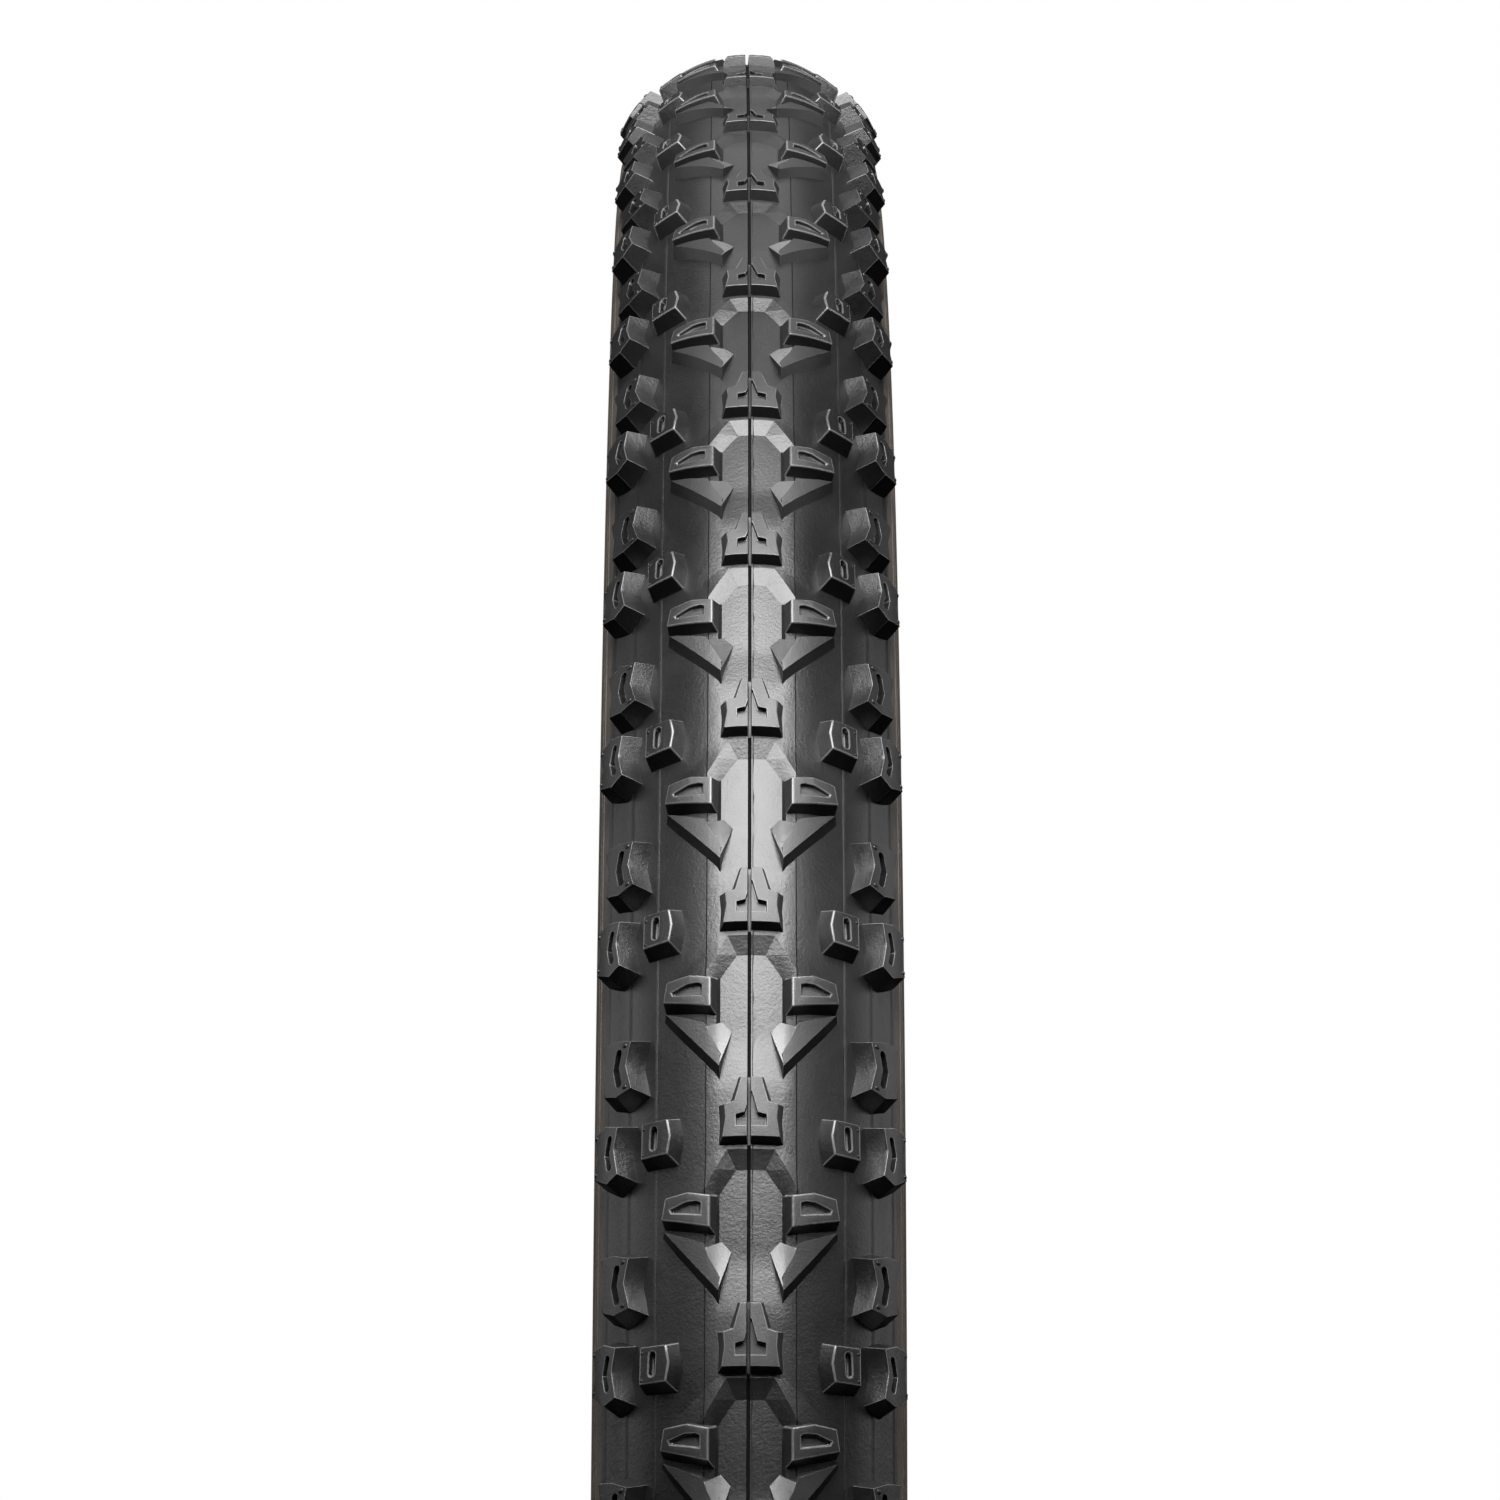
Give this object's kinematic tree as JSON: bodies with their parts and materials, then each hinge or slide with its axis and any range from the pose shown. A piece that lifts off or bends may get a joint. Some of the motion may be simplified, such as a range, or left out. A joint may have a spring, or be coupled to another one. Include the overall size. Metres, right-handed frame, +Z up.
{
  "type": "bicycle tire",
  "caption": "Off-road touring bicycle tire: round casing with two beads, arrow-shaped centre tread blocks, ramps and slotted shoulder knobs in black rubber.",
  "frame": {"origin": "the wheel's centre: on the axle line, midway between the two beads", "axes": "+Y along the wheel's axle, +Z up, and +X the way the tread faces the viewer"},
  "size_m": [0.7398, 0.0556, 0.7398],
  "materials": {
    "tread_rubber": "semi-gloss moulded rubber with a fine leathery grain",
    "shoulder_rubber": "semi-gloss moulded rubber, softer compound",
    "sidewall_rubber": "thin satin rubber with a faint brown bloom",
    "chafer_rubber": "rubbered woven strip, satin",
    "filler_rubber": "hard black rubber",
    "liner_rubber": "smooth dark liner with cord marks",
    "ply_fabric": "rubbered nylon cord cloth",
    "belt_fabric": "tight woven aramid cloth",
    "bead_wire": "brass-toned steel wire bundle"
  },
  "bodies": {
    "root": {"bead_core_left": "bead_wire", "bead_core_right": "bead_wire", "bead_wrap_left": "ply_fabric", "bead_wrap_right": "ply_fabric", "bead_filler_left": "filler_rubber", "bead_filler_right": "filler_rubber", "chafer_left": "chafer_rubber", "chafer_right": "chafer_rubber", "inner_liner": "liner_rubber", "casing_ply_inner": "ply_fabric", "casing_ply_outer": "ply_fabric", "puncture_belt": "belt_fabric", "sidewall_guard_left": "belt_fabric", "sidewall_guard_right": "belt_fabric", "sidewall_rubber_left": "sidewall_rubber", "sidewall_rubber_right": "sidewall_rubber", "tread_center_strip": "tread_rubber", "tread_shoulder_left": "shoulder_rubber", "tread_shoulder_right": "shoulder_rubber", "center_knobs": "tread_rubber", "channel_ramps": "tread_rubber", "arrow_head_knobs_left": "tread_rubber", "arrow_head_knobs_right": "tread_rubber", "arrow_tail_knobs_left": "tread_rubber", "arrow_tail_knobs_right": "tread_rubber", "transition_knobs_left": "shoulder_rubber", "transition_knobs_right": "shoulder_rubber", "inner_shoulder_knobs_left": "shoulder_rubber", "inner_shoulder_knobs_right": "shoulder_rubber", "outer_shoulder_knobs_left": "shoulder_rubber", "outer_shoulder_knobs_right": "shoulder_rubber"}
  },
  "joints": []
}
